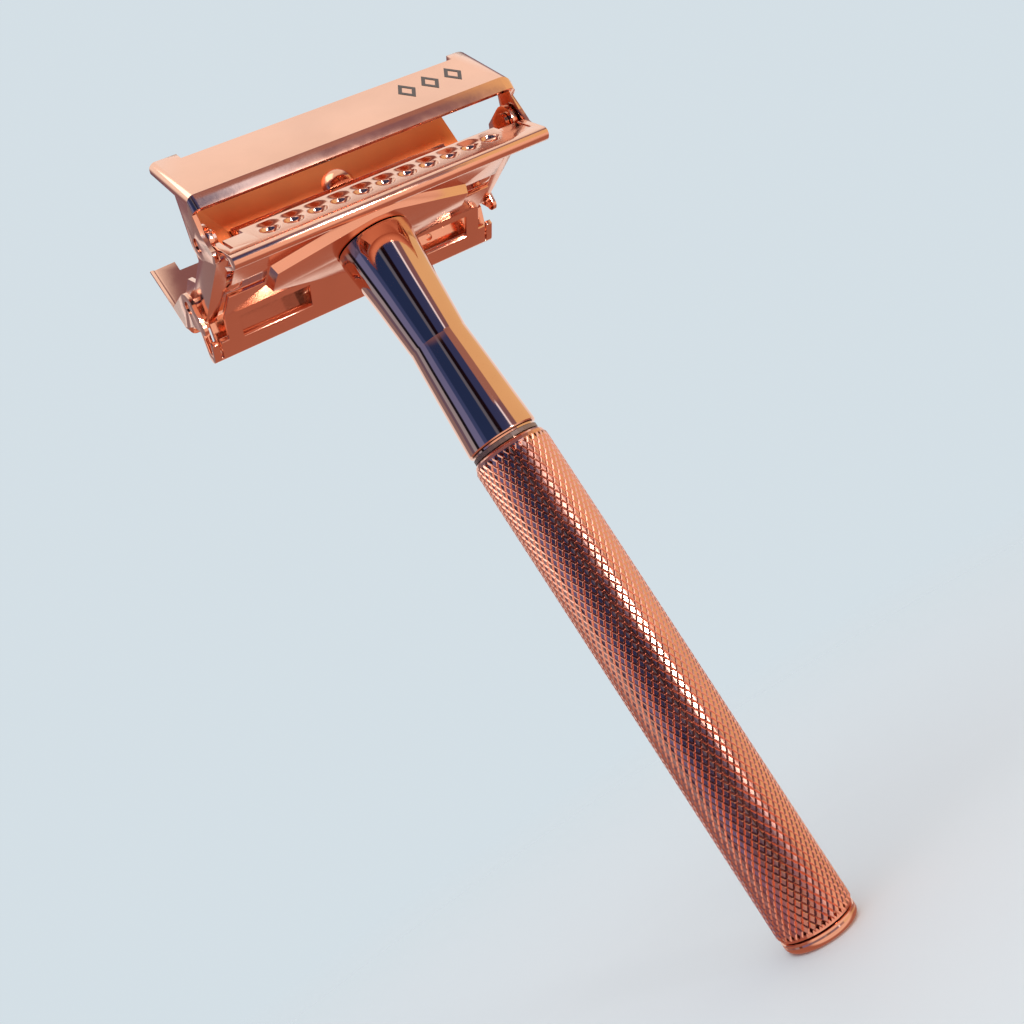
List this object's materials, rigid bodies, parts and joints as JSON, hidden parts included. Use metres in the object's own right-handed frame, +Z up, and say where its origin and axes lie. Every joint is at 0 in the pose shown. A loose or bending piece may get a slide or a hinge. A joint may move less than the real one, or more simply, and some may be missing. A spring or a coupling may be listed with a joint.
{
  "type": "safety razor",
  "caption": "Twist-to-open double-edge safety razor with a scalloped guard, two hinged doors, a polished neck and a knurled grip, standing open.",
  "frame": {"origin": "middle of the flat end of the handle, on which the razor stands", "axes": "+Z up the handle to the head, +X along the head, -Y to the front door"},
  "size_m": [0.0444, 0.0263, 0.1123],
  "materials": {
    "rose_gold_satin": "satin rose-gold plate",
    "rose_gold_polished": "mirror rose-gold plate",
    "rose_gold_knurled": "diamond knurl under rose-gold plate",
    "brass_plain": "plain turned",
    "steel_plain": "plain",
    "nylon_plain": "matt"
  },
  "bodies": {
    "frame": {"guard_plate": "rose_gold_satin", "neck": "rose_gold_polished", "guide_bush": "brass_plain", "thrust_washer": "nylon_plain", "wave_washer": "steel_plain", "retaining_ring": "steel_plain"},
    "grip": {"grip_sleeve": "rose_gold_knurled", "drive_nut": "brass_plain", "end_cap": "rose_gold_polished"},
    "carriage": {"spindle": "steel_plain", "blade_spine": "rose_gold_satin", "lift_bridge": "rose_gold_satin", "end_bracket_left": "rose_gold_satin", "end_bracket_right": "rose_gold_satin", "bracket_rivet_left": "rose_gold_satin", "bracket_rivet_right": "rose_gold_satin", "pivot_pin_front_left": "rose_gold_satin", "pivot_pin_front_right": "rose_gold_satin", "pivot_pin_rear_left": "rose_gold_satin", "pivot_pin_rear_right": "rose_gold_satin"},
    "front_door": {"door_front": "rose_gold_satin"},
    "rear_door": {"door_rear": "rose_gold_satin"}
  },
  "joints": [
    {"name": "grip_twist", "type": "hinge", "parent": "frame", "child": "grip", "pos_m": [0, 0, 0.05], "axis": [0, 0, 1], "range_deg": [0, 450]},
    {"name": "carriage_lift", "type": "slide", "parent": "frame", "child": "carriage", "axis": [0, 0, 1], "range_m": [-0.005, 0]},
    {"name": "front_door_swing", "type": "hinge", "parent": "carriage", "child": "front_door", "pos_m": [0, -0.0074, 0.10158], "axis": [1, 0, 0], "range_deg": [-44.01, 0]},
    {"name": "rear_door_swing", "type": "hinge", "parent": "carriage", "child": "rear_door", "pos_m": [0, 0.0074, 0.10158], "axis": [1, 0, 0], "range_deg": [0, 78.01]}
  ],
  "couplings": [
    {"joint": "carriage_lift", "follows": "grip_twist", "m_per_rad": -0.00063662},
    {"joint": "front_door_swing", "follows": "grip_twist", "ratio": -0.097778},
    {"joint": "rear_door_swing", "follows": "grip_twist", "ratio": 0.17333}
  ]
}
